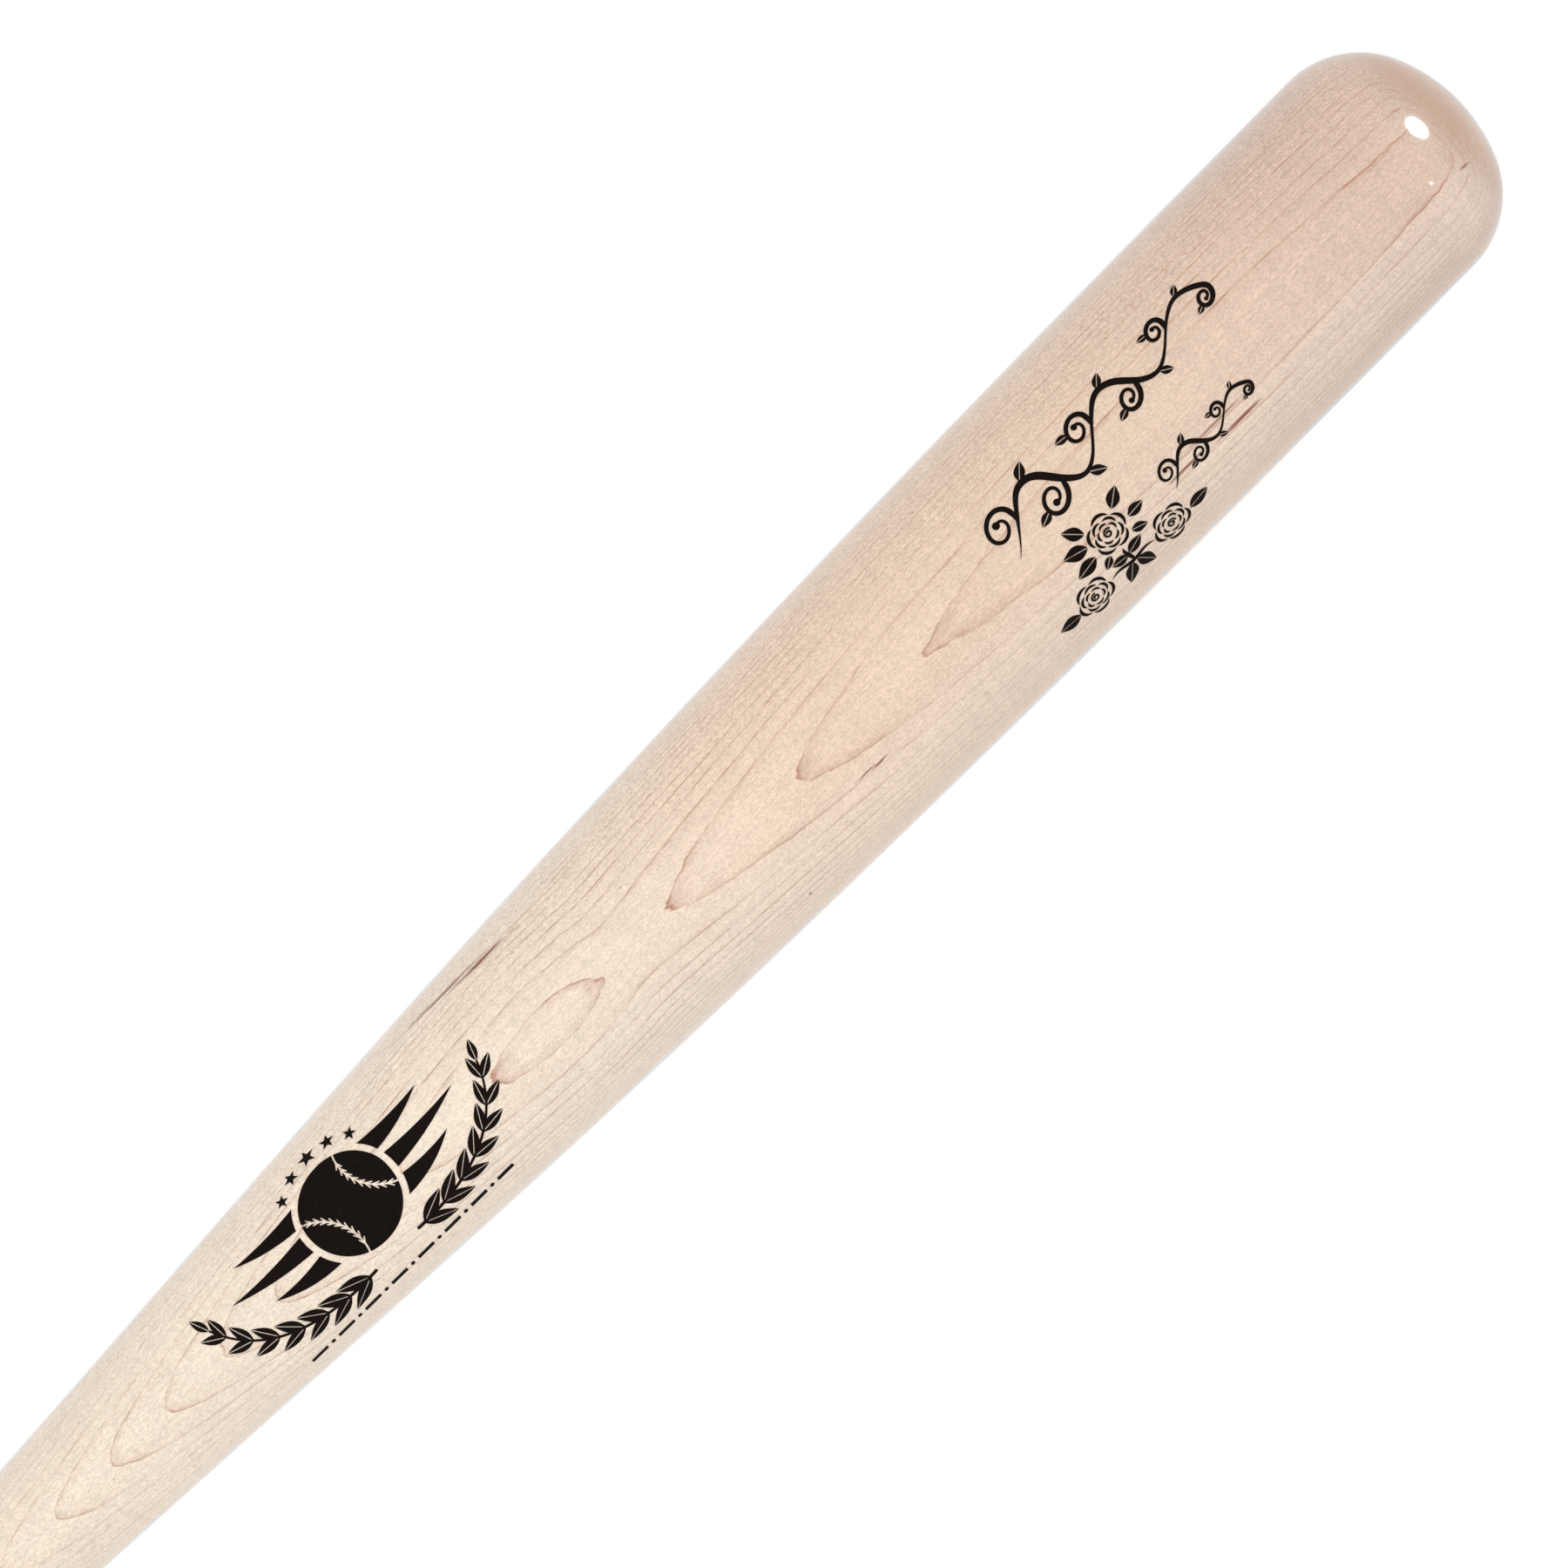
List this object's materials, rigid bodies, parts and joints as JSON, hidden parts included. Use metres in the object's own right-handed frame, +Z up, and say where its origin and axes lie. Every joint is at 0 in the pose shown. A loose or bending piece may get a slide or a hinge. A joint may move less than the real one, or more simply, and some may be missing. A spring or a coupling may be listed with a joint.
{
  "type": "baseball bat",
  "caption": "One-piece turned maple baseball bat with a flared knob, slim handle, long taper, rounded solid barrel end and black ink ornament.",
  "frame": {"origin": "centre of the knob's flat end, on the bat's axis", "axes": "+Z up the bat's axis from knob to barrel tip, -Y out of the printed face, +X to the right of a viewer who faces the print"},
  "size_m": [0.0635, 0.0636, 0.8636],
  "materials": {
    "maple": "pale flat-sawn maple under clear gloss lacquer",
    "ink": "black ink film, satin"
  },
  "bodies": {
    "root": {"bat_body": "maple", "long_scroll": "ink", "short_scroll": "ink", "blossom_inner": "ink", "blossom_lower": "ink", "blossom_upper": "ink", "spray_foliage": "ink", "emblem_ball": "ink", "emblem_stripes": "ink", "laurel_upper": "ink", "laurel_lower": "ink", "emblem_stars": "ink", "dash_row": "ink"}
  },
  "joints": []
}
